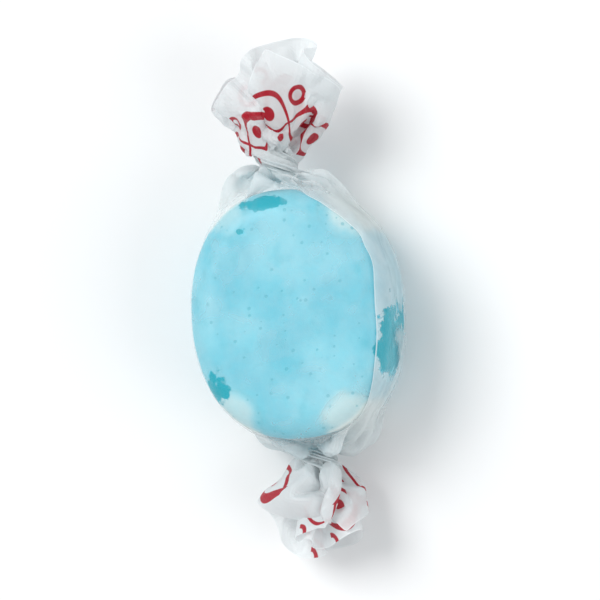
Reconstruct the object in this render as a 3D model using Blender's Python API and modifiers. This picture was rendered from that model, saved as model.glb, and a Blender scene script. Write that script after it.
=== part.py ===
"""One piece of salt water taffy in its twisted waxed paper.

The candy is a short slice of a soft blue rope with four white stripes, laid on one of its
flat faces. A rectangle of waxed paper is rolled round it, with its long edges lapped on one
side wall, gathered and twisted at both ends, and left flaring into a ruffled fan beyond each
twist. +X runs along the twists, +Z is the normal of the face that shows.
"""

import math
from collections import namedtuple

import bmesh
import bpy
import numpy as np

MM = 0.001

# Candy: a slice of an oval rope, with its rim rounded where the soft slice was cut
CANDY_HALF_LENGTH = 13.6 * MM
CANDY_HALF_WIDTH = 11.0 * MM
CANDY_THICKNESS = 15.4 * MM
CANDY_POWER = 2.25
CANDY_SIDES = 56
RIM_ROUNDING = 3.0 * MM
RIM_SEGMENTS = 4
RIM_EDGE_ANGLE = 60

# White stripes: angle from +X in plan, half the width along the rim, depth from the rim
Stripe = namedtuple("Stripe", "angle half_width depth")
STRIPES = (
    Stripe(-38, 3.3 * MM, 3.2 * MM),
    Stripe(36, 2.9 * MM, 2.7 * MM),
    Stripe(143, 3.4 * MM, 3.3 * MM),
    Stripe(-149, 3.0 * MM, 3.0 * MM),
)
STRIPE_SIDES = 20
GAP = 0.25 * MM

# Waxed paper, drawn ten times as thick as the real sheet so that it is a wall
PAPER = 0.3 * MM
NECK_LENGTH = 1.4 * MM
NECK_WALL = 0.9 * MM
TWIST_LENGTH = 6.0 * MM
FAN_WALL = 0.4 * MM
BODY_POWER = 7.0
FLAT_SINK = 0.15 * MM
LAP = 0.175
LAP_RAMP = 0.07
SEAM_DROP = 0.06
COLUMNS_ROUND = 48
BODY_ROWS = 7
SHOULDER_ROWS = 7
NECK_ROWS = 3
PLEATS = 7
PLEAT_DEPTH = 0.22 * MM
RING_POINTS = 720

# Fans: each opens like a tulip from its twist, and its mouth is folded into petals
FAN_ROWS = 9
FAN_ROW_CROWDING = 1.2
FAN_OPENING = 2.2
FAN_THINNING = 2.5
FAN_POWER = 2.3
TIP_POWER = 1.8
RISE_POWER = 1.5
PETALS = 5

# Each end: side of the candy, neck's start, centre and radius, turns of the twist, then the
# fan's lengths at its middle and sides, half width and depth, its shift and rise at the
# mouth, and the depth and phase of its petals
End = namedtuple(
    "End",
    "side x y z radius turn middle_length left_length right_length half_width half_depth"
    " shift rise petal_depth phase",
)
ENDS = (
    End(
        -1, 14.8 * MM, -0.8 * MM, 6.3 * MM, 3.0 * MM, -0.4,
        10.9 * MM, 6.8 * MM, 7.2 * MM, 5.6 * MM, 4.0 * MM,
        0.2 * MM, 0.1 * MM, 0.9 * MM, 0.6,
    ),
    End(
        1, 15.2 * MM, 0.8 * MM, 10.4 * MM, 2.9 * MM, 0.4,
        13.4 * MM, 8.4 * MM, 8.8 * MM, 6.6 * MM, 3.8 * MM,
        -0.9 * MM, 0.7 * MM, 0.9 * MM, 2.4,
    ),
)
ROUND_POWER = 2

# Finishes
BLUE = (0.27, 0.66, 0.79)
WHITE = (0.80, 0.86, 0.85)
WAXED = (0.82, 0.85, 0.86)
SUGAR_ROUGHNESS = 0.5
PAPER_ROUGHNESS = 0.4


def clear_scene():
    for obj in list(bpy.data.objects):
        bpy.data.objects.remove(obj, do_unlink=True)


def new_collection(name):
    collection = bpy.data.collections.new(name)
    bpy.context.scene.collection.children.link(collection)
    return collection


def material(name, colour, roughness):
    made = bpy.data.materials.new(name)
    made.use_nodes = True
    shader = made.node_tree.nodes["Principled BSDF"]
    shader.inputs["Base Color"].default_value = (*colour, 1.0)
    shader.inputs["Roughness"].default_value = roughness
    shader.inputs["Metallic"].default_value = 0.0
    return made


def add_object(name, mesh, collection, surface=None):
    obj = bpy.data.objects.new(name, mesh)
    collection.objects.link(obj)
    if surface:
        mesh.materials.append(surface)
    return obj


def superellipse(angle, half_x, half_y, power):
    """Points of |x/half_x|^power + |y/half_y|^power = 1."""
    cos, sin = np.cos(angle), np.sin(angle)
    x = half_x * np.sign(cos) * np.abs(cos) ** (2 / power)
    y = half_y * np.sign(sin) * np.abs(sin) ** (2 / power)
    return x, y


def smooth(x):
    """0 below 0, 1 above 1, and a soft step between."""
    x = np.clip(x, 0.0, 1.0)
    return x * x * (3 - 2 * x)


def slice_object(name, collection, surface=None):
    """The whole slice of rope: a cylinder pressed to its oval, with both rims rounded."""
    mesh = bpy.data.meshes.new(name)
    shape = bmesh.new()
    bmesh.ops.create_cone(
        shape, cap_ends=True, segments=CANDY_SIDES, radius1=1, radius2=1, depth=CANDY_THICKNESS
    )
    for vertex in shape.verts:
        angle = math.atan2(vertex.co.y, vertex.co.x)
        x, y = superellipse(angle, CANDY_HALF_LENGTH, CANDY_HALF_WIDTH, CANDY_POWER)
        vertex.co.x, vertex.co.y = float(x), float(y)
        vertex.co.z += CANDY_THICKNESS / 2
    shape.to_mesh(mesh)
    shape.free()
    obj = add_object(name, mesh, collection, surface)
    obj.location.z = PAPER + GAP
    rim = obj.modifiers.new("Rounded rim", "BEVEL")
    rim.width = RIM_ROUNDING
    rim.segments = RIM_SEGMENTS
    rim.limit_method = "ANGLE"
    rim.angle_limit = math.radians(RIM_EDGE_ANGLE)
    return obj


def stripe_cutter(name, stripe, spare, collection):
    """An oval column at the rim, as deep and as wide as one stripe, grown by spare."""
    mesh = bpy.data.meshes.new(name)
    column = bmesh.new()
    bmesh.ops.create_cone(
        column, cap_ends=True, segments=STRIPE_SIDES, radius1=1, radius2=1,
        depth=2 * CANDY_THICKNESS,
    )
    for vertex in column.verts:
        vertex.co.x *= stripe.depth + spare
        vertex.co.y *= stripe.half_width + spare
    column.to_mesh(mesh)
    column.free()
    cutter = add_object(name, mesh, collection)
    angle = math.radians(stripe.angle)
    x, y = superellipse(angle, CANDY_HALF_LENGTH, CANDY_HALF_WIDTH, CANDY_POWER)
    cutter.location = (float(x), float(y), CANDY_THICKNESS / 2)
    cutter.rotation_euler.z = math.atan2(float(y), float(x))
    cutter.hide_render = True
    cutter.display_type = "WIRE"
    return cutter


def cut(obj, cutter, operation):
    boolean = obj.modifiers.new(operation.title(), "BOOLEAN")
    boolean.operation = operation
    boolean.object = cutter


def make_candy(collection, cutters):
    """The blue slice with four channels in its rim, and the white stripe that fills each."""
    blue = material("blue_pulled_sugar", BLUE, SUGAR_ROUGHNESS)
    white = material("white_pulled_sugar", WHITE, SUGAR_ROUGHNESS)
    candy = slice_object("candy", collection, blue)
    for number, stripe in enumerate(STRIPES, 1):
        channel = stripe_cutter(f"channel_{number}", stripe, GAP, cutters)
        cut(candy, channel, "DIFFERENCE")
        filling = slice_object(f"white_stripe_{number}", collection, white)
        column = stripe_cutter(f"column_{number}", stripe, 0.0, cutters)
        cut(filling, column, "INTERSECT")


def pulled_to_neck(stations, profile, neck_at, neck_height):
    """Height of paper laid over a convex profile and pulled straight from it to the neck."""
    clear = stations < neck_at - GAP
    slopes = (profile[clear] - neck_height) / (neck_at - stations[clear])
    touch = stations[clear][np.argmax(slopes)]
    pulled = neck_height + slopes.max() * (neck_at - stations)
    return np.where(stations <= touch, profile, pulled)


def shoulder_profile(end, x):
    """Half width, top and bottom of the wrapped body at the distance x from its middle."""
    stations = np.linspace(0.0, end.x, RING_POINTS)
    outside = GAP + PAPER
    half_length = CANDY_HALF_LENGTH + outside
    share = np.clip(stations / half_length, 0.0, 1.0)
    plan = (CANDY_HALF_WIDTH + outside) * (1 - share**CANDY_POWER) ** (1 / CANDY_POWER)
    rim = RIM_ROUNDING + outside
    past_flat = np.clip(stations - (half_length - rim), 0.0, rim)
    drop = rim - np.sqrt(rim**2 - past_flat**2)
    middle = outside + CANDY_THICKNESS / 2
    half = CANDY_THICKNESS / 2 + outside - drop
    inner_radius = end.radius - NECK_WALL - GAP
    width = pulled_to_neck(stations, plan, end.x, inner_radius)
    top = middle + pulled_to_neck(stations, half, end.x, end.z + inner_radius - middle)
    bottom = middle - pulled_to_neck(stations, half, end.x, middle - end.z + inner_radius)
    return tuple(np.interp(x, stations, side) for side in (width, top, bottom))


def ring(half_width, half_height, power, shares):
    """Even points round an oval by share of its girth, and their outward normals.

    The girth starts at the middle of the -Y side, goes up it and over the top.
    """
    angle = math.pi - np.linspace(0.0, 2 * math.pi, RING_POINTS + 1)
    outline = np.stack(superellipse(angle, half_width, half_height, power), axis=1)
    steps = np.linalg.norm(np.diff(outline, axis=0), axis=1)
    girth = np.concatenate([[0.0], np.cumsum(steps)])
    at = (shares % 1.0) * girth[-1]
    points = np.stack([np.interp(at, girth, outline[:, axis]) for axis in (0, 1)], axis=1)
    ahead = np.stack(
        [np.interp((at + GAP) % girth[-1], girth, outline[:, axis]) for axis in (0, 1)], axis=1
    )
    along = ahead - points
    along /= np.linalg.norm(along, axis=1, keepdims=True)
    normals = np.stack([-along[:, 1], along[:, 0]], axis=1)
    return points, normals


def lap_offset(shares, twisted, wall):
    """How far the paper stands off the oval, so that its last part lies over its first.

    On the body it steps up where the lap starts; in a twist it winds out all the way round.
    """
    lapped = smooth((shares - (1 - LAP_RAMP)) / LAP_RAMP)
    return ((1 - twisted) * lapped + twisted * shares) * (wall + GAP)


def pleat(shares, count, depth, phase=0.0):
    """Waves round the paper that meet where its two edges lap."""
    return depth * np.cos(2 * math.pi * count * shares + phase)


def twist(end, x):
    """Turns by which the paper has been wound at the distance x from the middle."""
    middle = end.x + NECK_LENGTH / 2
    return end.turn * float(smooth((x - middle) / TWIST_LENGTH + 0.5))


def body_row(end, x, shares):
    """One row of the paper up to the end of the neck, at the distance x from the middle."""
    half_width, top, bottom = shoulder_profile(end, min(x, end.x))
    rim_from = CANDY_HALF_LENGTH - RIM_ROUNDING
    rounded = float(smooth((x - rim_from) / (end.x - rim_from)))
    power = BODY_POWER + (ROUND_POWER - BODY_POWER) * rounded
    gathered = float(smooth((x - CANDY_HALF_LENGTH) / (end.x - CANDY_HALF_LENGTH)))
    wall = PAPER + (NECK_WALL - PAPER) * gathered
    turned = shares - SEAM_DROP + twist(end, x)
    half_height = (top - bottom) / 2 + FLAT_SINK * (1 - gathered)
    points, normals = ring(half_width, half_height, power, turned)
    offset = lap_offset(shares, gathered, wall) + pleat(shares, PLEATS, PLEAT_DEPTH * gathered)
    points = points + normals * offset[:, None]
    lean = gathered * end.y
    row = np.stack(
        [
            np.full(len(shares), end.side * x),
            points[:, 0] + lean,
            np.maximum(points[:, 1] + (top + bottom) / 2, 0.0),
        ],
        axis=1,
    )
    return row, wall


def fan_row(end, v, shares):
    """One row of the fan, at the share v of the way from the neck to the sheet's end."""
    opened = 1 - (1 - v) ** FAN_OPENING
    neck_radius = end.radius - NECK_WALL - GAP
    half_width = neck_radius + (end.half_width - neck_radius) * opened
    half_depth = neck_radius + (end.half_depth - neck_radius) * opened
    wall = NECK_WALL + (FAN_WALL - NECK_WALL) * float(smooth(v * FAN_THINNING))
    start = end.x + NECK_LENGTH
    turned = shares - SEAM_DROP + twist(end, start + v * end.middle_length)
    power = ROUND_POWER + (FAN_POWER - ROUND_POWER) * opened
    points, normals = ring(half_width, half_depth, power, turned)
    across = points[:, 0] / half_width
    offset = lap_offset(shares, 1.0, wall) + pleat(shares, PLEATS, PLEAT_DEPTH * (1 - opened))
    offset = offset + pleat(shares, PETALS, end.petal_depth * v, end.phase)
    side_length = np.where(across > 0, end.left_length, end.right_length)
    tip = 1 - np.abs(across) ** TIP_POWER
    length = side_length + (end.middle_length - side_length) * tip
    row = np.stack(
        [
            end.side * (start + v * length),
            end.y + end.shift * v + points[:, 0] + normals[:, 0] * offset,
            end.z + end.rise * v**RISE_POWER + points[:, 1] + normals[:, 1] * offset,
        ],
        axis=1,
    )
    return row, wall


def paper_rows():
    """Rows of points across the sheet, from the end of one fan to the end of the other."""
    shares = np.linspace(0.0, 1.0 + LAP, COLUMNS_ROUND)
    shoulder_from = CANDY_HALF_LENGTH - RIM_ROUNDING - PAPER
    rows = []
    for end in ENDS:
        stations = [
            *np.linspace(0.0, shoulder_from, BODY_ROWS + 1),
            *np.linspace(shoulder_from, end.x, SHOULDER_ROWS + 1)[1:],
            *np.linspace(end.x, end.x + NECK_LENGTH, NECK_ROWS + 1)[1:],
        ]
        half = [body_row(end, x, shares) for x in stations]
        fan_shares = np.linspace(0.0, 1.0, FAN_ROWS + 1)[1:] ** FAN_ROW_CROWDING
        half += [fan_row(end, v, shares) for v in fan_shares]
        if end.side < 0:
            rows = half[:0:-1]
        else:
            rows += half
    return rows


def make_wrapper(collection):
    """The sheet as a loft through its rows, thickened inwards to its wall."""
    rows = paper_rows()
    columns = COLUMNS_ROUND
    points = np.concatenate([row for row, wall in rows])
    faces = [
        (i * columns + j, (i + 1) * columns + j, (i + 1) * columns + j + 1, i * columns + j + 1)
        for i in range(len(rows) - 1)
        for j in range(columns - 1)
    ]
    mesh = bpy.data.meshes.new("wrapper")
    mesh.from_pydata(points.tolist(), [], faces)
    mesh.shade_smooth()
    waxed = material("waxed_paper", WAXED, PAPER_ROUGHNESS)
    sheet = add_object("wrapper", mesh, collection, waxed)
    thickness = sheet.vertex_groups.new(name="wall")
    for number, (row, wall) in enumerate(rows):
        first = number * columns
        thickness.add(list(range(first, first + columns)), wall / NECK_WALL, "REPLACE")
    solidify = sheet.modifiers.new("Wall", "SOLIDIFY")
    solidify.thickness = NECK_WALL
    solidify.offset = -1.0
    solidify.vertex_group = thickness.name
    solidify.thickness_vertex_group = 0.0
    return sheet


def stand_on_origin(collection):
    """Moves everything so that the origin is the middle of the underside of the whole."""
    bpy.context.view_layer.update()
    graph = bpy.context.evaluated_depsgraph_get()
    corners = []
    for obj in collection.objects:
        evaluated = obj.evaluated_get(graph)
        corners += [evaluated.matrix_world @ vertex.co for vertex in evaluated.data.vertices]
    corners = np.array(corners)
    low, high = corners.min(axis=0), corners.max(axis=0)
    middle = (low + high) / 2
    base = bpy.data.objects.new("taffy", None)
    collection.objects.link(base)
    base.location = (-middle[0], -middle[1], -low[2])
    return base


def main():
    clear_scene()
    taffy = new_collection("taffy")
    cutters = new_collection("stripe_cutters")
    make_candy(taffy, cutters)
    make_wrapper(taffy)
    base = stand_on_origin(taffy)
    for obj in [*taffy.objects, *cutters.objects]:
        if obj != base:
            obj.parent = base


main()
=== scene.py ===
# %% [markdown]
# # A piece of salt water taffy in its twisted waxed paper
#
# Taffy is sugar boiled with corn syrup and pulled until it is full of air. It leaves the
# machine as a soft rope and is cut into short slices, and each slice is rolled in a sheet of
# waxed paper whose two ends are twisted shut. This lesson dresses one piece: the slice with
# its four white stripes, and the paper that is wrapped round it.

import math

import bpy
import numpy as np
from mathutils import Matrix, Vector
from mathutils.bvhtree import BVHTree


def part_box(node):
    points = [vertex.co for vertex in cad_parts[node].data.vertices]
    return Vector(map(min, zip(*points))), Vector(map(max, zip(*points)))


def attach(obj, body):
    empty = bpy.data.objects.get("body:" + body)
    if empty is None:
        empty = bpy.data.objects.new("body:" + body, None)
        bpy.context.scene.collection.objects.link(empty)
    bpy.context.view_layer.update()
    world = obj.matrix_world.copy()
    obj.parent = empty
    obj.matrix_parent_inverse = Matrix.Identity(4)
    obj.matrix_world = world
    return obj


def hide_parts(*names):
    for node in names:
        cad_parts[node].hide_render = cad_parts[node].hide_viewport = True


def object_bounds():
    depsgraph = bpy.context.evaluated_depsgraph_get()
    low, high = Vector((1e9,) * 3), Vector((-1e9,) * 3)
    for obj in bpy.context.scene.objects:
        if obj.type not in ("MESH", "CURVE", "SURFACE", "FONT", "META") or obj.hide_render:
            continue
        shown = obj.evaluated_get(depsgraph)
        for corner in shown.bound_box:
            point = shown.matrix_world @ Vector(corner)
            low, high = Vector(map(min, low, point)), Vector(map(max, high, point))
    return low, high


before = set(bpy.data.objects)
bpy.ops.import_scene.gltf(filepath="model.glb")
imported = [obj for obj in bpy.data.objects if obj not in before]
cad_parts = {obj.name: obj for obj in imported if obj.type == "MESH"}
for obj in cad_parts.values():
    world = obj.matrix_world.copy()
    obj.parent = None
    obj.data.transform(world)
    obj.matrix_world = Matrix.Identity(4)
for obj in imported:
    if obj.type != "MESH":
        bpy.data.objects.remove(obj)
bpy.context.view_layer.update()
print("solids:", sorted(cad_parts))

# %% [markdown]
# ## Sizes and colours
#
# Blender works in metres and the piece is 57 mm long, so every size below is written in
# millimetres times MM. Colours are written as a painter's hex values, which are sRGB, and
# the shaders want linear light, so one function turns one into the other.

# %% Units and colours
MM = 0.001


def linear(hex_colour):
    """The linear RGBA of an sRGB colour such as 8fd5e6."""
    parts = [int(hex_colour[i : i + 2], 16) / 255 for i in (0, 2, 4)]
    return (*[p / 12.92 if p <= 0.04045 else ((p + 0.055) / 1.055) ** 2.4 for p in parts], 1.0)


print("white paper in linear light:", [round(c, 3) for c in linear("e8ebea")])

# %% Where things are
candy_low, candy_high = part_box("candy")
paper_low, paper_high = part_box("wrapper")
CENTRE = (candy_low + candy_high) / 2
MIDDLE = Vector((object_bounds()[0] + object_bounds()[1]) / 2)
print("middle of the slice, mm:", [round(c / MM, 2) for c in CENTRE])

# %% [markdown]
# ## Floor, light and camera
#
# The piece lies on a face and is seen from almost straight above, as on a light table. The
# twists run up the picture, and a tilt of nine degrees shows a little of the near side wall.
# A long lens from far away keeps both ends at one scale. Light is a big soft box above and
# to the left, a weaker one on the right, and a pale surround that fills the shadows.

# %% Floor
FLOOR_SIDE = 3.0


def add_node(tree, kind, values=(), **settings):
    """Adds a shader node, sets its properties, then its sockets by name or number.

    A value that is itself an output socket is linked instead of set.
    """
    node = tree.nodes.new(kind)
    for name, value in settings.items():
        setattr(node, name, value)
    for socket, value in dict(values).items():
        if isinstance(value, bpy.types.NodeSocket):
            tree.links.new(value, node.inputs[socket])
        else:
            node.inputs[socket].default_value = value
    return node


def new_material(name):
    """An empty material with its output node, and the tree to build in."""
    material = bpy.data.materials.new(name)
    material.use_nodes = True
    tree = material.node_tree
    tree.nodes.clear()
    return material, tree, tree.nodes.new("ShaderNodeOutputMaterial")


bpy.ops.object.select_all(action="DESELECT")
bpy.ops.mesh.primitive_plane_add(size=FLOOR_SIDE, location=(0, 0, 0))
floor = bpy.context.object
floor.name = "floor"
painted, tree, out = new_material("matte_white_board")
board = add_node(tree, "ShaderNodeBsdfDiffuse", {"Color": linear("f4f5f5")})
tree.links.new(board.outputs[0], out.inputs["Surface"])
floor.data.materials.append(painted)
print("floor side, m:", FLOOR_SIDE)

# %% Light
BOXES = (
    ("key_softbox", (0.35, 0.40, 0.80), 0.50, 5.8),
    ("fill_softbox", (-0.20, -0.60, 0.55), 0.50, 1.9),
)
SURROUND = 0.52


def aim(obj, target, up):
    """Points an object's -Z at the target, with its +Y as near to up as it can be."""
    back = (obj.location - target).normalized()
    right = up.cross(back).normalized()
    top = back.cross(right)
    obj.rotation_euler = Matrix((right, top, back)).transposed().to_euler()


for name, place, side, watts in BOXES:
    bpy.ops.object.light_add(type="AREA", location=place)
    box = bpy.context.object
    box.name = name
    box.data.size = side
    box.data.energy = watts
    aim(box, MIDDLE, Vector((1, 0, 0)))

world = bpy.data.worlds.new("pale_surround")
bpy.context.scene.world = world
world.use_nodes = True
background = world.node_tree.nodes["Background"]
background.inputs["Color"].default_value = linear("fafcff")
background.inputs["Strength"].default_value = SURROUND
bpy.context.scene.view_settings.view_transform = "Standard"
print("lights:", [name for name, *rest in BOXES])

# %% Camera
TILT = math.radians(9)
LEAN = math.radians(3.7)
DISTANCE = 0.50
FRAME_SIDE = 66 * MM
SENSOR = 36.0

bpy.ops.object.camera_add(
    location=MIDDLE + DISTANCE * Vector((0, -math.sin(TILT), math.cos(TILT)))
)
camera = bpy.context.object
camera.name = "camera"
camera.data.sensor_width = SENSOR
camera.data.lens = SENSOR * DISTANCE / FRAME_SIDE
aim(camera, MIDDLE, Vector((math.cos(LEAN), -math.sin(LEAN), 0)))
bpy.context.scene.camera = camera
print("lens, mm:", round(camera.data.lens))

# %% [markdown]
# ## The slice
#
# A rope of taffy is cut while it is soft, so the slice has two flat faces with rounded rims
# and an oval outline. It starts as a cylinder. Bevel rounds the rims, insets give the flat
# faces rings of their own, and bisect cuts the side wall into rows. The round outline is
# then pressed to the oval of the rope, which is a little squarer than an ellipse. A weak
# Displace gives it the slight swells of hand-pulled sugar. The same function also makes a
# coarse copy, on which the paper is wrapped later.

# %% Slice
HALF_LENGTH = 13.6 * MM
HALF_WIDTH = 11.0 * MM
THICKNESS = 15.4 * MM
POWER = 2.25
RIM = 3.0 * MM
RING_STEP = 1.0 * MM
SWELL = 0.22 * MM
SWELL_SIZE = 7 * MM


def deselect():
    if bpy.context.mode != "OBJECT":
        bpy.ops.object.mode_set(mode="OBJECT")
    bpy.ops.object.select_all(action="DESELECT")


def pick(obj, test, domain="polygons"):
    """Selects the faces or edges of a mesh that pass a test, and enters edit mode."""
    bpy.ops.object.mode_set(mode="EDIT")
    bpy.ops.mesh.select_mode(type="FACE" if domain == "polygons" else "EDGE")
    bpy.ops.mesh.select_all(action="DESELECT")
    bpy.ops.object.mode_set(mode="OBJECT")
    for element in getattr(obj.data, domain):
        element.select = test(element)
    bpy.ops.object.mode_set(mode="EDIT")


def oval(angle, half_x, half_y, power):
    """Points of |x/half_x|^power + |y/half_y|^power = 1."""
    cos, sin = np.cos(angle), np.sin(angle)
    x = half_x * np.sign(cos) * np.abs(cos) ** (2 / power)
    y = half_y * np.sign(sin) * np.abs(sin) ** (2 / power)
    return x, y


def add_slice(name, sides, rim_segments, rings, rows):
    """The slice at the origin, smooth and whole, with its faces and wall divided."""
    deselect()
    bpy.ops.mesh.primitive_cylinder_add(vertices=sides, radius=1, depth=THICKNESS)
    obj = bpy.context.object
    obj.name = name
    for vertex in obj.data.vertices:
        x, y = oval(math.atan2(vertex.co.y, vertex.co.x), HALF_LENGTH, HALF_WIDTH, POWER)
        vertex.co.x, vertex.co.y = float(x), float(y)
    points = obj.data.vertices

    def in_one_face(edge):
        first, second = edge.vertices
        return points[first].co.z * points[second].co.z > 0

    pick(obj, in_one_face, "edges")
    bpy.ops.mesh.bevel(offset=RIM, offset_type="OFFSET", segments=rim_segments, affect="EDGES")
    for ring in range(rings):
        bpy.ops.object.mode_set(mode="OBJECT")
        pick(obj, lambda face: abs(face.normal.z) > 0.999 and len(face.vertices) > 4)
        bpy.ops.mesh.inset(thickness=RING_STEP, depth=0)
    wall = THICKNESS / 2 - RIM
    for height in np.linspace(-wall, wall, rows + 1)[1:-1]:
        bpy.ops.mesh.select_all(action="SELECT")
        bpy.ops.mesh.bisect(plane_co=(0, 0, float(height)), plane_no=(0, 0, 1))
    bpy.ops.object.mode_set(mode="OBJECT")
    swells = bpy.data.textures.new("swells", "CLOUDS")
    swells.noise_scale = SWELL_SIZE
    displace = obj.modifiers.new("Swells", "DISPLACE")
    displace.texture = swells
    displace.strength = SWELL
    displace.texture_coords = "LOCAL"
    bpy.ops.object.modifier_apply(modifier=displace.name)
    bpy.ops.object.shade_smooth()
    return obj


def place_at(obj, place):
    """Puts a mesh made at the origin to its place, with the place in the mesh."""
    deselect()
    obj.select_set(True)
    bpy.context.view_layer.objects.active = obj
    obj.location = place
    bpy.ops.object.transform_apply(location=True, rotation=True, scale=True)


slice_sides = 112
candy = add_slice("pulled_candy", slice_sides, 8, 6, 8)
place_at(candy, CENTRE)
print("slice:", len(candy.data.polygons), "faces")

# %% [markdown]
# ## The stripes
#
# Four strands of white sugar are laid along the blue rope before it is pulled. In the slice
# they are shallow channels of white in the side wall, which show on each face as a small
# half oval at the rim. A column with an oval foot stands in for each strand: one Boolean
# leaves the white where the column and the slice meet, and another takes it from the blue.
# The two sugars are fused, so there is no gap and no step between them.

# %% Stripes
# Each strand: its angle from +X, half width and depth, and how white it is on the cut faces
STRIPES = ((-38, 3.3, 3.2, 0.7), (36, 2.9, 2.7, 0.35), (143, 3.4, 3.3, 0.5), (-149, 3.0, 3.0, 0.6))
STRAND_SIDES = 48


def duplicate(obj, name):
    deselect()
    obj.select_set(True)
    bpy.context.view_layer.objects.active = obj
    bpy.ops.object.duplicate()
    copy = bpy.context.object
    copy.name = name
    return copy


def boolean(obj, cutter, operation):
    """Applies one Boolean to obj, and leaves the cutter as it is."""
    deselect()
    bpy.context.view_layer.objects.active = obj
    modifier = obj.modifiers.new("Cut", "BOOLEAN")
    modifier.operation = operation
    modifier.object = cutter
    bpy.ops.object.modifier_apply(modifier=modifier.name)


def strand_frame(angle):
    """Where a strand meets the rim, and the direction straight out from the middle there."""
    x, y = oval(math.radians(angle), HALF_LENGTH, HALF_WIDTH, POWER)
    place = Vector((float(x), float(y), 0))
    return place, math.atan2(place.y, place.x)


stripes = []
for number, (angle, half_width, depth, haze) in enumerate(STRIPES, 1):
    place, turn = strand_frame(angle)
    deselect()
    bpy.ops.mesh.primitive_cylinder_add(
        vertices=STRAND_SIDES, radius=1, depth=2 * THICKNESS, location=CENTRE + place,
        rotation=(0, 0, turn), scale=(depth * MM, half_width * MM, 1),
    )
    strand = bpy.context.object
    stripe = duplicate(candy if not stripes else whole, f"white_stripe_{number}_sugar")
    if not stripes:
        whole = duplicate(candy, "whole_slice")
    boolean(stripe, strand, "INTERSECT")
    boolean(candy, strand, "DIFFERENCE")
    stripes.append(stripe)
    bpy.data.objects.remove(strand, do_unlink=True)
for piece in [candy, *stripes]:
    deselect()
    piece.select_set(True)
    bpy.context.view_layer.objects.active = piece
    bpy.ops.object.shade_smooth_by_angle(angle=math.radians(40))
print("stripes:", [len(stripe.data.polygons) for stripe in stripes], "faces")

# %% How white the sugar is
def write_attribute(obj, name, values):
    attribute = obj.data.attributes.new(name, "FLOAT", "POINT")
    attribute.data.foreach_set("value", np.asarray(values, np.float32))


def positions(obj):
    found = np.empty(len(obj.data.vertices) * 3, np.float32)
    obj.data.vertices.foreach_get("co", found)
    return found.reshape(-1, 3).astype(float)


def white_share(points):
    """1 on a strand's middle line, 0 at its border, below 0 in the blue; and its haze."""
    local = points - np.array(CENTRE)
    best = np.full(len(points), -9.0)
    haze = np.zeros(len(points))
    for angle, half_width, depth, strand_haze in STRIPES:
        place, turn = strand_frame(angle)
        off = local[:, :2] - np.array(place)[:2]
        inward = (off[:, 0] * math.cos(turn) + off[:, 1] * math.sin(turn)) / (depth * MM)
        across = (-off[:, 0] * math.sin(turn) + off[:, 1] * math.cos(turn)) / (half_width * MM)
        share = 1 - np.hypot(inward, across)
        haze = np.where(share > best, strand_haze, haze)
        best = np.maximum(best, share)
    return best, haze


for piece in [candy, *stripes]:
    share, haze = white_share(positions(piece))
    write_attribute(piece, "white_share", share)
    write_attribute(piece, "white_haze", haze)
print("sugar marked on", 1 + len(stripes), "pieces")

# %% [markdown]
# ## Pulled sugar
#
# Pulled taffy is a satin, slightly clear sugar full of fine air bubbles. The eye gets a soft
# blue with pale clouds where the colour is not quite kneaded in, and small pits where bubbles
# were cut, darkened with painted shade. The knife drags a film of blue over the ends of the
# white strands, so they are hazy on the two cut faces and plain on the wall. In a few places
# the sugar is damp and the paper sticks to it, and there both are clear and the blue is deep;
# where the paper tucks in at the rim, that deep blue is painted shade as well. Subsurface
# light of about a millimetre gives the soft look of a sweet rather than of plastic.

# %% Pulled sugar
BLUE = "54c2d6"
BLUE_DEEP = "2db0c2"
BLUE_PALE = "83d3e2"
# Deep blue of damp sugar, also used as painted shade in the bubble pits and in the paper's tucks at
# the rim
BLUE_DAMP_AND_SHADE = "10a8b9"
SUGAR_WHITE = "e2eeea"
# Damp places, which also carry painted shade where the paper tucks in at the rim: distance
# from the slice's middle along X and Y, and the reach along X and Y
DAMP_AND_SHADED_PLACES = ((-7.6, 8.3, 2.2, 1.3), (-4.2, -10.9, 4.6, 1.7), (12.2, 1.9, 0.8, 2.4), (9.3, 4.6, 0.4, 0.5))


def scaled_noise(tree, coordinates, size, detail=2.0, **values):
    """Noise whose blotches are about size across, from coordinates in metres."""
    settings = {"Vector": coordinates, "Scale": 1 / size, "Detail": detail, **values}
    return add_node(tree, "ShaderNodeTexNoise", settings).outputs["Fac"]


def stepped(tree, value, low, high, to_low=0.0, to_high=1.0):
    """A soft step: to_low below low, to_high above high."""
    settings = {"Value": value, 1: low, 2: high, 3: to_low, 4: to_high}
    node = add_node(tree, "ShaderNodeMapRange", settings, interpolation_type="SMOOTHSTEP")
    return node.outputs["Result"]


def maths(tree, operation, *values):
    """One Math node; a value is a number or an output."""
    return add_node(tree, "ShaderNodeMath", enumerate(values), operation=operation).outputs[0]


def mixed(tree, factor, first, second):
    """Two colours mixed by a factor."""
    values = {"Factor": factor, "A": first, "B": second}
    node = tree.nodes.new("ShaderNodeMix")
    node.data_type = "RGBA"
    for socket, value in zip((node.inputs[0], node.inputs[6], node.inputs[7]), values.values()):
        if isinstance(value, bpy.types.NodeSocket):
            tree.links.new(value, socket)
        else:
            socket.default_value = value
    return node.outputs[2]


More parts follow.
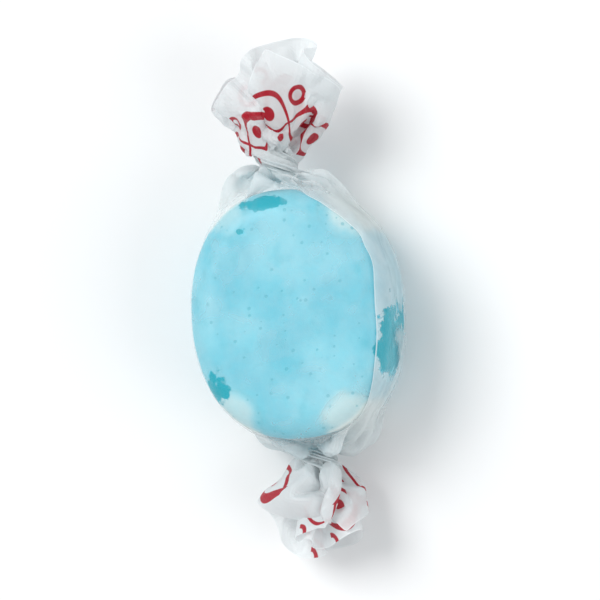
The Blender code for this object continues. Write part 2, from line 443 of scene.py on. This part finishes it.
def damp_and_shaded_places(tree, here):
    """1 where the sugar is damp and the paper sticks to it, and where painted shade falls
    in the paper's tucks at the rim, with ragged borders.
    """
    axes = add_node(tree, "ShaderNodeSeparateXYZ", {0: here})
    ragged = scaled_noise(tree, here, 1.3 * MM, 3.0)
    damp = 0.0
    for x, y, reach_x, reach_y in DAMP_AND_SHADED_PLACES:
        off_x = maths(tree, "SUBTRACT", axes.outputs["X"], CENTRE.x + x * MM)
        off_y = maths(tree, "SUBTRACT", axes.outputs["Y"], CENTRE.y + y * MM)
        off_x = maths(tree, "POWER", maths(tree, "DIVIDE", off_x, reach_x * MM), 2.0)
        off_y = maths(tree, "POWER", maths(tree, "DIVIDE", off_y, reach_y * MM), 2.0)
        near = maths(tree, "SUBTRACT", 1.0, maths(tree, "ADD", off_x, off_y))
        near = maths(tree, "ADD", near, maths(tree, "MULTIPLY_ADD", ragged, 4.0, -2.0))
        damp = maths(tree, "MAXIMUM", damp, stepped(tree, near, 0.0, 0.35))
    return damp


def pulled_sugar():
    material, tree, out = new_material("pulled_sugar")
    here = add_node(tree, "ShaderNodeTexCoord").outputs["Object"]
    clouds = scaled_noise(tree, here, 6 * MM, 3.0)
    blotches = scaled_noise(tree, here, 1.8 * MM, 3.0)
    blue = mixed(tree, stepped(tree, clouds, 0.3, 0.7), linear(BLUE), linear(BLUE_PALE))
    blue = mixed(tree, stepped(tree, blotches, 0.5, 0.75, 0.0, 0.25), blue, linear(BLUE_DEEP))
    share = add_node(tree, "ShaderNodeAttribute", attribute_name="white_share").outputs["Fac"]
    haze = add_node(tree, "ShaderNodeAttribute", attribute_name="white_haze").outputs["Fac"]
    wander = maths(tree, "MULTIPLY_ADD", clouds, 0.9, -0.65)
    wander = maths(tree, "MULTIPLY_ADD", blotches, 0.4, wander)
    wandering = maths(tree, "ADD", share, wander)
    plain = stepped(tree, wandering, -0.12, 0.16)
    hazy = maths(tree, "MULTIPLY", stepped(tree, wandering, -0.12, 0.5), haze)
    normal = add_node(tree, "ShaderNodeNewGeometry").outputs["Normal"]
    upward = add_node(tree, "ShaderNodeSeparateXYZ", {0: normal}).outputs["Z"]
    facing = maths(tree, "ABSOLUTE", upward)
    on_face = stepped(tree, facing, 0.15, 0.6)
    white = maths(
        tree, "MULTIPLY_ADD", on_face, maths(tree, "SUBTRACT", hazy, plain), plain
    )
    colour = mixed(tree, white, blue, linear(SUGAR_WHITE))
    bubbles = add_node(
        tree, "ShaderNodeTexVoronoi", {"Vector": here, "Scale": 1 / (0.9 * MM), "Randomness": 1.0}
    )
    size = stepped(tree, bubbles.outputs["Color"], 0.40, 0.80, 0.0, 0.26)
    pit = stepped(tree, maths(tree, "SUBTRACT", size, bubbles.outputs["Distance"]), 0.0, 0.08)
    # Painted shade in the bubble pits: each pit is darkened half way to the deep blue.
    colour = mixed(tree, maths(tree, "MULTIPLY", pit, 0.5), colour, linear(BLUE_DAMP_AND_SHADE))
    # Painted shade and damp: these places are painted deep blue, partly damp sugar under stuck
    # paper and partly shade where the paper tucks in.
    colour = mixed(tree, damp_and_shaded_places(tree, here), colour, linear(BLUE_DAMP_AND_SHADE))
    grain = scaled_noise(tree, here, 0.5 * MM, 2.0)
    height = maths(tree, "SUBTRACT", maths(tree, "MULTIPLY", grain, 0.35), pit)
    bump = add_node(
        tree, "ShaderNodeBump", {"Height": height, "Strength": 0.3, "Distance": 0.12 * MM}
    )
    shader = add_node(
        tree, "ShaderNodeBsdfPrincipled",
        {
            "Base Color": colour, "Roughness": 0.42, "IOR": 1.5, "Normal": bump.outputs[0],
            "Subsurface Weight": 0.2, "Subsurface Radius": (0.7, 1.0, 1.1),
            "Subsurface Scale": 1.0 * MM,
        },
    )
    tree.links.new(shader.outputs[0], out.inputs["Surface"])
    return material


sugar = pulled_sugar()
for piece in [candy, *stripes]:
    piece.data.materials.clear()
    piece.data.materials.append(sugar)
print("made", sugar.name)

# %% [markdown]
# ## The flat sheet of paper
#
# The wrapper is one rectangle of thin waxed paper, 85 mm the way round and 76 mm long.
# It is modelled as a wrapping machine does it: the sheet is rolled round the slice, its long
# edges lapped by a sixth of the way round, then both ends are gathered, twisted and pressed.
# The cloth solver is tuned for clothes, so the wrapping is done at twenty times the size.
# Rows of the grid run across the sheet: few over the slice, where the paper is tight, and
# many from the shoulder to the ends, where it has to crumple.

# %% Flat sheet
BIG = 20.0
BIG_MM = BIG * MM
TUBE_HALF_WIDTH = 11.35 * BIG_MM
TUBE_HALF_HEIGHT = 8.05 * BIG_MM
TUBE_POWER = 7.0
LAP = 0.175
SEAM_DROP = 0.06
LAP_LIFT = 0.25 * BIG_MM
NECK_AT = 22.0 * BIG_MM
END_LENGTH = {1: 18.0 * BIG_MM, -1: 15.0 * BIG_MM}
COLUMNS = 109
FINE_ROW = 0.72 * BIG_MM
TIGHT = 9.0 * BIG_MM
TIGHT_ROWS = 14

rows_down = np.arange(TIGHT + BIG_MM, NECK_AT + END_LENGTH[-1], FINE_ROW)
rows_up = np.arange(TIGHT + BIG_MM, NECK_AT + END_LENGTH[1], FINE_ROW)
ALONG = np.concatenate([-rows_down[::-1], np.linspace(-TIGHT, TIGHT, TIGHT_ROWS), rows_up])
ROUND = np.linspace(0, 1 + LAP, COLUMNS)
ROWS = len(ALONG)
print("sheet:", ROWS, "rows of", COLUMNS, "points")

# %% Rolled round the slice
OUTLINE_POINTS = 720
UNEVEN = 0.02 * BIG_MM


def smooth(x):
    """0 below 0, 1 above 1, and a soft step between."""
    x = np.clip(x, 0, 1)
    return x * x * (3 - 2 * x)


def tube_section():
    """Points of the rolled sheet in the YZ plane, one for each column, and the tube's girth."""
    angle = math.pi - np.linspace(0, 2 * math.pi, OUTLINE_POINTS + 1)
    outline = np.stack(oval(angle, TUBE_HALF_WIDTH, TUBE_HALF_HEIGHT, TUBE_POWER), axis=1)
    steps = np.linalg.norm(np.diff(outline, axis=0), axis=1)
    reached = np.concatenate([[0], np.cumsum(steps)])
    girth = reached[-1]
    at = ((ROUND - SEAM_DROP) % 1) * girth
    ahead = (at + LAP_LIFT) % girth
    point = np.stack([np.interp(at, reached, outline[:, k]) for k in (0, 1)], axis=1)
    next_point = np.stack([np.interp(ahead, reached, outline[:, k]) for k in (0, 1)], axis=1)
    along = next_point - point
    along /= np.linalg.norm(along, axis=1, keepdims=True)
    outward = np.stack([-along[:, 1], along[:, 0]], axis=1)
    lapped = smooth((ROUND - 0.93) / 0.07)
    return point + outward * (lapped * LAP_LIFT)[:, None], girth


section, girth = tube_section()
tube = np.zeros((ROWS, COLUMNS, 3))
tube[:, :, 0] = ALONG[:, None]
tube[:, :, 1:] = section[None]
draw = np.random.default_rng(5)
tube[:, :, 1:] += draw.normal(0, UNEVEN, (ROWS, COLUMNS, 2))
print("girth of the tube, mm:", round(girth / BIG_MM, 1))

# %% Grid and its flat map
SHEET_LENGTH = float(ALONG[-1] - ALONG[0]) / BIG
SHEET_WIDTH = float(girth * (1 + LAP)) / BIG

deselect()
bpy.ops.mesh.primitive_grid_add(x_subdivisions=ROWS - 1, y_subdivisions=COLUMNS - 1, size=1)
paper = bpy.context.object
paper.name = "waxed_paper"
flat = positions(paper)
row_of = np.rint((flat[:, 0] + 0.5) * (ROWS - 1)).astype(int)
column_of = np.rint((flat[:, 1] + 0.5) * (COLUMNS - 1)).astype(int)
paper.data.vertices.foreach_set("co", tube[row_of, column_of].astype(np.float32).ravel())
corner_vertex = np.empty(len(paper.data.loops), np.int32)
paper.data.loops.foreach_get("vertex_index", corner_vertex)
flat_map = np.stack(
    [(ALONG[row_of] - ALONG[0]) / BIG / SHEET_WIDTH, ROUND[column_of] / (1 + LAP)], axis=1
)
paper.data.uv_layers[0].name = "flat_sheet"
paper.data.uv_layers[0].data.foreach_set(
    "uv", flat_map[corner_vertex].astype(np.float32).ravel()
)
print("flat sheet, mm:", round(SHEET_LENGTH / MM, 1), "by", round(SHEET_WIDTH / MM, 1))

# %% [markdown]
# ## Gathering the necks
#
# At each neck five rows of the sheet are pinned and led, by a shape key, from the wide tube
# to a tight ring of pleats just past the end of the slice. Each row is turned a little
# further than the one before, which is the twist. A few rows over the middle of the slice
# stay where they are. Everything else is free, so it is drawn in by the pinned rows and lies
# as real paper does.

# %% Necks
NECK_ROWS = 5
HELIX = 0.5
HELD = 2.8 * BIG_MM
NECK_CORE = 0.7 * BIG_MM
PLEAT_HEIGHT = 2.0 * BIG_MM
ROW_PRESSED = 0.75
NECKS = {
    1: {"place": (15.4, 0.8, 2.15), "rise": 0.16, "turn": 0.05, "pleats": 7},
    -1: {"place": (-14.9, -0.8, -1.95), "rise": -0.10, "turn": -0.05, "pleats": 11},
}


def neck_ring(side, number):
    """One pinned row in the neck: pleats round a small circle, further turned each row."""
    neck = NECKS[side]
    share = ROUND / (1 + LAP)
    turned = math.tau * (neck["turn"] + side * HELIX * number / NECK_ROWS)
    angle = math.pi - math.tau * (share + SEAM_DROP) - turned
    uneven = 0.35 * np.sin(math.tau * 3 * share)
    wave = 0.5 + 0.5 * np.cos(math.tau * (neck["pleats"] * share + uneven))
    radius = NECK_CORE + PLEAT_HEIGHT * wave
    radius += 0.25 * BIG_MM * np.cos(math.tau * 2 * share + 1)
    past = number * FINE_ROW * ROW_PRESSED
    x, y, z = (BIG_MM * value for value in neck["place"])
    return np.stack(
        [
            np.full(COLUMNS, x + side * past),
            y + radius * np.cos(angle),
            z + neck["rise"] * past + radius * np.sin(angle),
        ],
        axis=1,
    )


gathered = tube.copy()
pinned_rows = list(np.flatnonzero(np.abs(ALONG) <= HELD))
for side in NECKS:
    first = int(np.argmin(np.abs(ALONG - side * NECK_AT)))
    for number in range(NECK_ROWS):
        gathered[first + side * number] = neck_ring(side, number)
        pinned_rows.append(first + side * number)
print("pinned rows:", len(pinned_rows))

# %% [markdown]
# ## Wrapping by simulation
#
# Blender's Cloth does the wrapping. The coarse slice is the body that the paper lies on. An
# oval sleeve closes round each end and eases again, as the fingers of a machine do, which
# crumples the end into a tulip. A weak negative pressure over the slice draws the paper onto
# it, as the wax does. Paper hardly stretches and bends stiffly, so tension is high and
# bending is far above that of cloth. Gravity is off, because paper this light doesn't sag.

# %% Simulation
FRAMES = 46
CLOSED_BY = 0.4
SLEEVE_SIDES = 28
SLEEVE_TIMES = ((0, 4.6), (0.42, 4.6), (0.76, 0.94), (0.82, 0.94), (0.92, 1.06))
# Each sleeve: its rise and its drift to one side along its length, then its rings, as
# distance from the slice's middle, half width and half height
SLEEVES = {
    1: (0.10, -0.04, (
        (17.4, 3.4, 3.2), (19.5, 5.2, 3.8), (22.0, 7.3, 4.4), (25.0, 8.4, 4.7),
        (29.0, 8.2, 4.5), (33.0, 7.0, 4.0), (37.0, 6.0, 3.6), (41.0, 6.0, 3.6),
    )),
    -1: (0.0, 0.03, (
        (16.9, 3.5, 3.3), (19.0, 6.4, 4.4), (21.5, 8.2, 5.0), (24.0, 8.6, 5.0),
        (27.0, 7.8, 4.8), (31.0, 6.4, 4.2), (35.0, 5.4, 3.8), (39.0, 5.4, 3.8),
    )),
}


def key_frames(owner, prop, times_and_values):
    """Keys a property at shares of the simulation, with straight lines between."""
    for share, value in times_and_values:
        setattr(owner, prop, value)
        owner.keyframe_insert(prop, frame=max(1, round(share * FRAMES)))
    action = owner.id_data.animation_data.action
    for curve in action.fcurves:
        for key in curve.keyframe_points:
            key.interpolation = "LINEAR"


def add_collider(obj, thickness, friction):
    obj.modifiers.new("Collision", "COLLISION")
    obj.collision.thickness_outer = thickness
    obj.collision.cloth_friction = friction


def add_sleeve(side):
    """A sleeve that closes round one end of the paper, with its faces turned inwards."""
    rise, drift, rings = SLEEVES[side]
    rings = np.array(rings) * BIG_MM
    middle = np.array(NECKS[side]["place"]) * BIG_MM
    deselect()
    bpy.ops.mesh.primitive_cylinder_add(
        vertices=SLEEVE_SIDES, radius=1, depth=len(rings) - 1, end_fill_type="NOTHING"
    )
    sleeve = bpy.context.object
    bpy.ops.object.mode_set(mode="EDIT")
    for height in np.arange(1, len(rings) - 1) - (len(rings) - 1) / 2:
        bpy.ops.mesh.select_all(action="SELECT")
        bpy.ops.mesh.bisect(plane_co=(0, 0, float(height)), plane_no=(0, 0, 1))
    bpy.ops.mesh.select_all(action="SELECT")
    bpy.ops.mesh.quads_convert_to_tris()
    bpy.ops.object.mode_set(mode="OBJECT")
    shape = positions(sleeve)
    ring = rings[np.rint(shape[:, 2] + (len(rings) - 1) / 2).astype(int)]
    far = ring[:, 0] - rings[0, 0]
    shape = np.stack(
        [
            side * ring[:, 0] - middle[0],
            shape[:, 0] * ring[:, 1] + drift * far,
            shape[:, 1] * ring[:, 2] + rise * far,
        ],
        axis=1,
    )
    sleeve.data.vertices.foreach_set("co", shape.astype(np.float32).ravel())
    bpy.ops.object.mode_set(mode="EDIT")
    bpy.ops.mesh.normals_make_consistent(inside=True)
    bpy.ops.object.mode_set(mode="OBJECT")
    sleeve.location = middle
    add_collider(sleeve, 0.1 * BIG_MM, 0.6)
    key_frames(sleeve, "scale", [(share, (1, size, size)) for share, size in SLEEVE_TIMES])
    return sleeve


def wrap(paper):
    """Runs the simulation and leaves the paper as the wrapped mesh, still at the big size."""
    former = add_slice("former", 64, 5, 0, 1)
    former.data.transform(Matrix.Scale(BIG, 4))
    deselect()
    bpy.context.view_layer.objects.active = former
    bpy.ops.object.mode_set(mode="EDIT")
    bpy.ops.mesh.select_all(action="SELECT")
    bpy.ops.mesh.quads_convert_to_tris()
    bpy.ops.object.mode_set(mode="OBJECT")
    add_collider(former, 0.2 * BIG_MM, 0.5)
    former.collision.damping = 0.2
    former.collision.use_normal = True
    sleeves = [add_sleeve(side) for side in SLEEVES]

    paper.shape_key_add(name="Basis")
    key = paper.shape_key_add(name="Gathered")
    key.data.foreach_set("co", gathered[row_of, column_of].astype(np.float32).ravel())
    key_frames(key, "value", ((0, 0.0), (CLOSED_BY, 1.0)))
    pins = paper.vertex_groups.new(name="pinned")
    pins.add(np.flatnonzero(np.isin(row_of, pinned_rows)).tolist(), 1.0, "REPLACE")
    waxed = paper.vertex_groups.new(name="drawn_to_slice")
    near = np.abs(ALONG[row_of]) < 16 * BIG_MM
    waxed.add(np.flatnonzero(near).tolist(), 1.0, "REPLACE")

    cloth = paper.modifiers.new("Cloth", "CLOTH")
    settings = cloth.settings
    settings.quality = 6
    settings.mass = 0.15
    settings.air_damping = 4.0
    settings.tension_stiffness = 60
    settings.compression_stiffness = 60
    settings.shear_stiffness = 30
    settings.bending_stiffness = 14
    settings.tension_damping = 10
    settings.compression_damping = 10
    settings.shear_damping = 10
    settings.bending_damping = 1.0
    settings.vertex_group_mass = pins.name
    settings.effector_weights.gravity = 0
    settings.use_pressure = True
    settings.uniform_pressure_force = -4.0
    settings.vertex_group_pressure = waxed.name
    touch = cloth.collision_settings
    touch.distance_min = 0.0015
    touch.collision_quality = 3
    touch.use_self_collision = True
    touch.self_distance_min = 0.0012
    touch.self_friction = 1.0
    cloth.point_cache.frame_end = FRAMES
    bpy.context.scene.frame_end = FRAMES
    for number in range(1, FRAMES + 1):
        bpy.context.scene.frame_set(number)
    deselect()
    paper.select_set(True)
    bpy.context.view_layer.objects.active = paper
    bpy.ops.object.convert(target="MESH")
    for helper in [former, *sleeves]:
        bpy.data.objects.remove(helper, do_unlink=True)


wrap(paper)
print("wrapped:", len(paper.data.vertices), "points")

# %% [markdown]
# ## Back to size
#
# The wrapped sheet is brought back to its real size and place. The simulation is a little
# free with the ends, so beyond each neck the paper is stretched evenly until it reaches as
# far as the solid does. The solver also keeps a cloth's thickness of air under the sheet,
# where wax sticks it down, so over the slice the paper is drawn closer, and its lap lies on
# the layer below. Any point left inside the sugar is moved out to just above it, and one
# subdivision rounds the grid's corners.

# %% Fit
SKIN = 0.07 * MM
LAYER = 0.12 * MM
STUCK = 0.25
STUCK_TO = 11.5 * MM
LOOSE_FROM = 15.5 * MM
EASE = 4 * MM


def fit_to_model(points):
    """Stretches each end from its neck to the reach of the solid."""
    points = points.copy()
    for side, neck in NECKS.items():
        start = CENTRE.x + neck["place"][0] * MM
        target = (paper_high.x if side > 0 else paper_low.x) - start
        over = side * (points[:, 0] - start)
        factor = side * target / over.max()
        share = smooth(over / EASE)
        points[:, 0] += side * over * (factor - 1) * share
    return points


def stick_down(points, tree):
    """Draws the paper over the slice closer to it, the lap's outer layer a little less."""
    reach = np.abs(points[:, 0] - CENTRE.x)
    stuck = 1 - smooth((reach - STUCK_TO) / (LOOSE_FROM - STUCK_TO))
    outer = smooth((ROUND[column_of] - 0.93) / 0.07)
    for index, point in enumerate(points):
        near, normal, face, distance = tree.find_nearest(Vector(point))
        above = (Vector(point) - near).dot(normal)
        rest = SKIN + LAYER * float(outer[index])
        if above > rest:
            kept = 1 - (1 - STUCK) * float(stuck[index])
            points[index] = near + (Vector(point) - near) * (rest + (above - rest) * kept) / above


def out_of_the_sugar(points, tree):
    """Moves points that are in the slice, or closer than the skin, to just outside it."""
    moved = 0
    for index, point in enumerate(points):
        near, normal, face, distance = tree.find_nearest(Vector(point))
        if (Vector(point) - near).dot(normal) < SKIN:
            points[index] = near + normal * SKIN
            moved += 1
    return moved


points = fit_to_model(positions(paper) / BIG + np.array(CENTRE))
graph = bpy.context.evaluated_depsgraph_get()
slice_tree = BVHTree.FromObject(whole, graph)
stick_down(points, slice_tree)
moved = out_of_the_sugar(points, slice_tree)
points[:, 2] = np.maximum(points[:, 2], 0.02 * MM)
paper.data.vertices.foreach_set("co", points.astype(np.float32).ravel())
deselect()
bpy.context.view_layer.objects.active = paper
finer = paper.modifiers.new("Finer", "SUBSURF")
finer.levels = finer.render_levels = 1
bpy.ops.object.modifier_apply(modifier=finer.name)
bpy.ops.object.shade_smooth()
print("moved out of the sugar:", moved, "points; now", len(paper.data.polygons), "faces")

# %% [markdown]
# ## Crumples
#
# Paper that has been handled keeps straight folds with flat facets between them, which cloth
# never does. Each fold direction is a triangle wave across the flat sheet. Where several
# cross, their sum is a field of flat facets that meet in sharp lines. The loose ends are moved
# by it along their normals, the shoulders a little, and the paper on the candy not at all.
# A fold can push a shoulder into the sugar, so the next cell moves the paper out once more.

# %% Crumples
FOLDS = 7
FOLD_SPACING = (4.0, 10.0)
FOLD_SLOPE = 0.045
FOLD_WANDER = 0.12
CRUMPLED_FROM = 12.5 * MM
CRUMPLED_TO = 17.0 * MM
SMOOTHER_BELOW = 0.4


def flat_places(obj):
    """Where each point lies on the flat sheet, in millimetres."""
    corner_vertex = np.empty(len(obj.data.loops), np.int32)
    obj.data.loops.foreach_get("vertex_index", corner_vertex)
    uv = np.empty(len(obj.data.loops) * 2, np.float32)
    obj.data.uv_layers["flat_sheet"].data.foreach_get("uv", uv)
    places = np.zeros((len(obj.data.vertices), 2))
    places[corner_vertex] = uv.reshape(-1, 2) * SHEET_WIDTH / MM
    return places


def folded_height(places):
    """Height in millimetres of flat facets between straight folds in several directions."""
    draw = np.random.default_rng(11)
    height = np.zeros(len(places))
    for _ in range(FOLDS):
        angle = draw.uniform(0, math.pi)
        spacing = draw.uniform(*FOLD_SPACING)
        start = draw.uniform()
        across = places @ np.array([math.cos(angle), math.sin(angle)])
        beside = places @ np.array([-math.sin(angle), math.cos(angle)])
        wave = across / spacing + start + FOLD_WANDER * np.sin(beside / spacing)
        height += spacing * FOLD_SLOPE * (np.abs(2 * (wave % 1) - 1) - 0.5)
    return height


points = positions(paper)
normals = np.empty(len(paper.data.vertices) * 3, np.float32)
paper.data.vertex_normals.foreach_get("vector", normals)
reach = np.abs(points[:, 0] - CENTRE.x)
crumpled = smooth((reach - CRUMPLED_FROM) / (CRUMPLED_TO - CRUMPLED_FROM))
crumpled *= np.where(points[:, 0] > 0, 1.0, SMOOTHER_BELOW)
height = folded_height(flat_places(paper)) * crumpled * MM
points += normals.reshape(-1, 3) * height[:, None]
paper.data.vertices.foreach_set("co", points.astype(np.float32).ravel())
print("facets stand off by up to, mm:", round(float(np.abs(height).max()) / MM, 2))

# %% How far the paper is off the sugar
def lift_of(points, tree):
    """Distance of each point to the slice, in millimetres."""
    return [tree.find_nearest(Vector(point))[3] / MM for point in points]


points = positions(paper)
moved = out_of_the_sugar(points, slice_tree)
paper.data.vertices.foreach_set("co", points.astype(np.float32).ravel())
lift = np.array(lift_of(points, slice_tree))
write_attribute(paper, "lift", lift)
bpy.data.objects.remove(whole, do_unlink=True)
print("touching:", round(float((lift < 0.35).mean()), 2), "of the sheet")

# %% [markdown]
# ## Waxed paper
#
# Waxed paper is thin tissue soaked with wax. Where it touches the sugar the air gap is gone
# and it is nearly clear. Where it stands off it is milky, and two layers are whiter than
# one. Light also comes through it from behind, so the ends glow. The shader is a satin
# white mixed with a Translucent one, and both are mixed with a Transparent one by the
# distance to the sugar. The cut edges catch the light as a fine pale line. The print is one
# ink, red, round both ends of the sheet: a plain braid of two waves with dots and rings,
# drawn from the sheet's own flat map, so it folds with the paper.

# %% Print
INK_RED = "b81a2e"
PRINT_FROM_NECK = 11.5
MOTIFS = 8
INK_EDGE = 0.06
EYE_SHIFT = 1.0
# Waves: height in mm, half the stroke and how much it swells
WAVES = ((2.2, 0.50, 0.22), (-2.2, 0.30, 0.06))
# Dots and rings: place in the motif across and along, radius, half the stroke, all in mm
MARKS = (
    (2.65, 0.0, 0.0, 0.75), (-2.65, 0.0, 0.0, 0.75),
    (0.0, 3.0, 0.85, 0.26), (0.0, -2.6, 0.0, 0.5),
)


def print_mask(tree, along, round_):
    """The red pattern: 1 on the ink. along and round_ are millimetres on the flat sheet."""
    pitch = SHEET_WIDTH / MM / MOTIFS
    phase = maths(tree, "MULTIPLY", round_, math.tau / pitch)
    ink = 0.0
    for height, half_stroke, swell in WAVES:
        wave = maths(tree, "MULTIPLY", maths(tree, "SINE", phase), height)
        off = maths(tree, "ABSOLUTE", maths(tree, "SUBTRACT", along, wave))
        stroke = maths(tree, "MULTIPLY_ADD", maths(tree, "COSINE", phase), swell, half_stroke)
        line = stepped(tree, maths(tree, "SUBTRACT", stroke, off), -INK_EDGE, INK_EDGE)
        ink = maths(tree, "MAXIMUM", ink, line)
    cell = maths(tree, "SUBTRACT", maths(tree, "FRACT", maths(tree, "DIVIDE", round_, pitch)), 0.5)
    cell = maths(tree, "MULTIPLY", cell, pitch)
    for across, up, radius, half_stroke in MARKS:
        dx = maths(tree, "SUBTRACT", cell, across)
        dy = maths(tree, "SUBTRACT", along, up)
        square = maths(
            tree, "ADD", maths(tree, "POWER", dx, 2.0), maths(tree, "POWER", dy, 2.0)
        )
        from_middle = maths(tree, "SQRT", square)
        off = maths(tree, "ABSOLUTE", maths(tree, "SUBTRACT", from_middle, radius))
        mark = stepped(tree, maths(tree, "SUBTRACT", half_stroke, off), -INK_EDGE, INK_EDGE)
        ink = maths(tree, "MAXIMUM", ink, mark)
    return ink


def sparser_low(tree, ink, side, round_):
    """The print, with every third eye of the braid left on the low end, where side is below 0."""
    eye = maths(tree, "DIVIDE", round_, SHEET_WIDTH / MM / MOTIFS / 2)
    third = maths(tree, "FRACT", maths(tree, "DIVIDE", maths(tree, "ADD", eye, EYE_SHIFT), 3.0))
    left_low = maths(tree, "LESS_THAN", third, 1 / 3)
    kept = maths(tree, "MAXIMUM", left_low, maths(tree, "GREATER_THAN", side, 0.0))
    return maths(tree, "MULTIPLY", ink, kept)


print("print: braid every", round(SHEET_WIDTH / MM / MOTIFS, 1), "mm")

# %% Waxed paper
PAPER_WHITE = "eff4f5"
CLEAR = 0.20
FLAP = 0.68
STUCK_FAST = 0.03
MILKY = 0.86
INK_ALPHA = 0.95
EDGE_ALPHA = 0.96
EDGE_WIDTH = 0.22
# Distances to the sugar in mm: where damp sugar lets the film go, and where film turns milky
DAMP_LIFT = (0.3, 0.45)
MILKY_LIFT = (0.4, 2.4)


def waxed_paper():
    material, tree, out = new_material("milky_waxed_paper")
    here = add_node(tree, "ShaderNodeTexCoord").outputs["Object"]
    flat_uv = add_node(tree, "ShaderNodeUVMap", uv_map="flat_sheet").outputs[0]
    flat_xyz = add_node(tree, "ShaderNodeSeparateXYZ", {0: flat_uv})
    span = SHEET_WIDTH / MM
    from_end = maths(tree, "MULTIPLY", flat_xyz.outputs[0], span)
    round_ = maths(tree, "MULTIPLY", flat_xyz.outputs[1], span)
    along = maths(tree, "ADD", from_end, float(ALONG[0]) / BIG_MM)
    print_line = NECK_AT / BIG_MM + PRINT_FROM_NECK
    from_print = maths(tree, "SUBTRACT", maths(tree, "ABSOLUTE", along), print_line)
    ink = sparser_low(tree, print_mask(tree, from_print, round_), along, round_)

    lift = add_node(tree, "ShaderNodeAttribute", attribute_name="lift").outputs["Fac"]
    haze = scaled_noise(tree, here, 2.5 * MM, 3.0)
    flap = stepped(tree, round_, span / (1 + LAP) - 0.3, span / (1 + LAP) + 0.3, CLEAR, FLAP)
    clear = maths(tree, "ADD", flap, stepped(tree, haze, 0.3, 0.7, -0.06, 0.06))
    swirl = maths(tree, "SUBTRACT", scaled_noise(tree, here, 8 * MM, 1.0), 0.5)
    swirl = maths(tree, "ABSOLUTE", swirl)
    clear = maths(tree, "ADD", clear, stepped(tree, swirl, 0.0, 0.05, 0.06, 0.0))
    touching = stepped(tree, lift, *DAMP_LIFT, 1.0, 0.0)
    stuck = maths(tree, "MULTIPLY", damp_and_shaded_places(tree, here), touching)
    clear = maths(tree, "MULTIPLY_ADD", stuck, maths(tree, "SUBTRACT", STUCK_FAST, clear), clear)
    off = stepped(tree, lift, *MILKY_LIFT)
    alpha = maths(tree, "MULTIPLY_ADD", off, maths(tree, "SUBTRACT", MILKY, clear), clear)
    alpha = maths(tree, "MAXIMUM", alpha, maths(tree, "MULTIPLY", ink, INK_ALPHA))
    length = SHEET_LENGTH / MM
    # Painted highlight on the cut edges: a fine rim of the sheet is made nearly opaque, so it shows
    # as a pale line.
    for reach, whole in ((from_end, length), (round_, span)):
        far = maths(tree, "MINIMUM", reach, maths(tree, "SUBTRACT", whole, reach))
        edge = stepped(tree, far, EDGE_WIDTH / 2, EDGE_WIDTH, EDGE_ALPHA, 0.0)
        alpha = maths(tree, "MAXIMUM", alpha, edge)

    colour = mixed(tree, ink, linear(PAPER_WHITE), linear(INK_RED))
    wrinkles = scaled_noise(tree, flat_uv, 1.6 * MM / SHEET_WIDTH, 3.0, Roughness=0.6)
    bump = add_node(
        tree, "ShaderNodeBump",
        {"Height": maths(tree, "MULTIPLY", wrinkles, off), "Strength": 0.5, "Distance": 0.2 * MM},
    )
    face = add_node(
        tree, "ShaderNodeBsdfPrincipled",
        {"Base Color": colour, "Roughness": 0.36, "IOR": 1.45, "Normal": bump.outputs[0]},
    )
    glow = add_node(tree, "ShaderNodeBsdfTranslucent", {"Color": colour})
    sheet = add_node(tree, "ShaderNodeMixShader", {0: 0.4, 1: face.outputs[0], 2: glow.outputs[0]})
    nothing = add_node(tree, "ShaderNodeBsdfTransparent")
    cut = add_node(
        tree, "ShaderNodeMixShader", {0: alpha, 1: nothing.outputs[0], 2: sheet.outputs[0]}
    )
    tree.links.new(cut.outputs[0], out.inputs["Surface"])
    return material


paper.data.materials.clear()
paper.data.materials.append(waxed_paper())
print("made", paper.data.materials[0].name)

# %% [markdown]
# ## Putting it together
#
# Each piece stands for the solid of the same part and rides on the one body of the object.

# %% Finish
for piece, node, slot in [
    (candy, "candy", "blue_candy"),
    *[(stripe, f"white_stripe_{n}", "white_candy") for n, stripe in enumerate(stripes, 1)],
    (paper, "wrapper", "waxed_paper"),
]:
    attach(piece, "root")
    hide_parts(node)
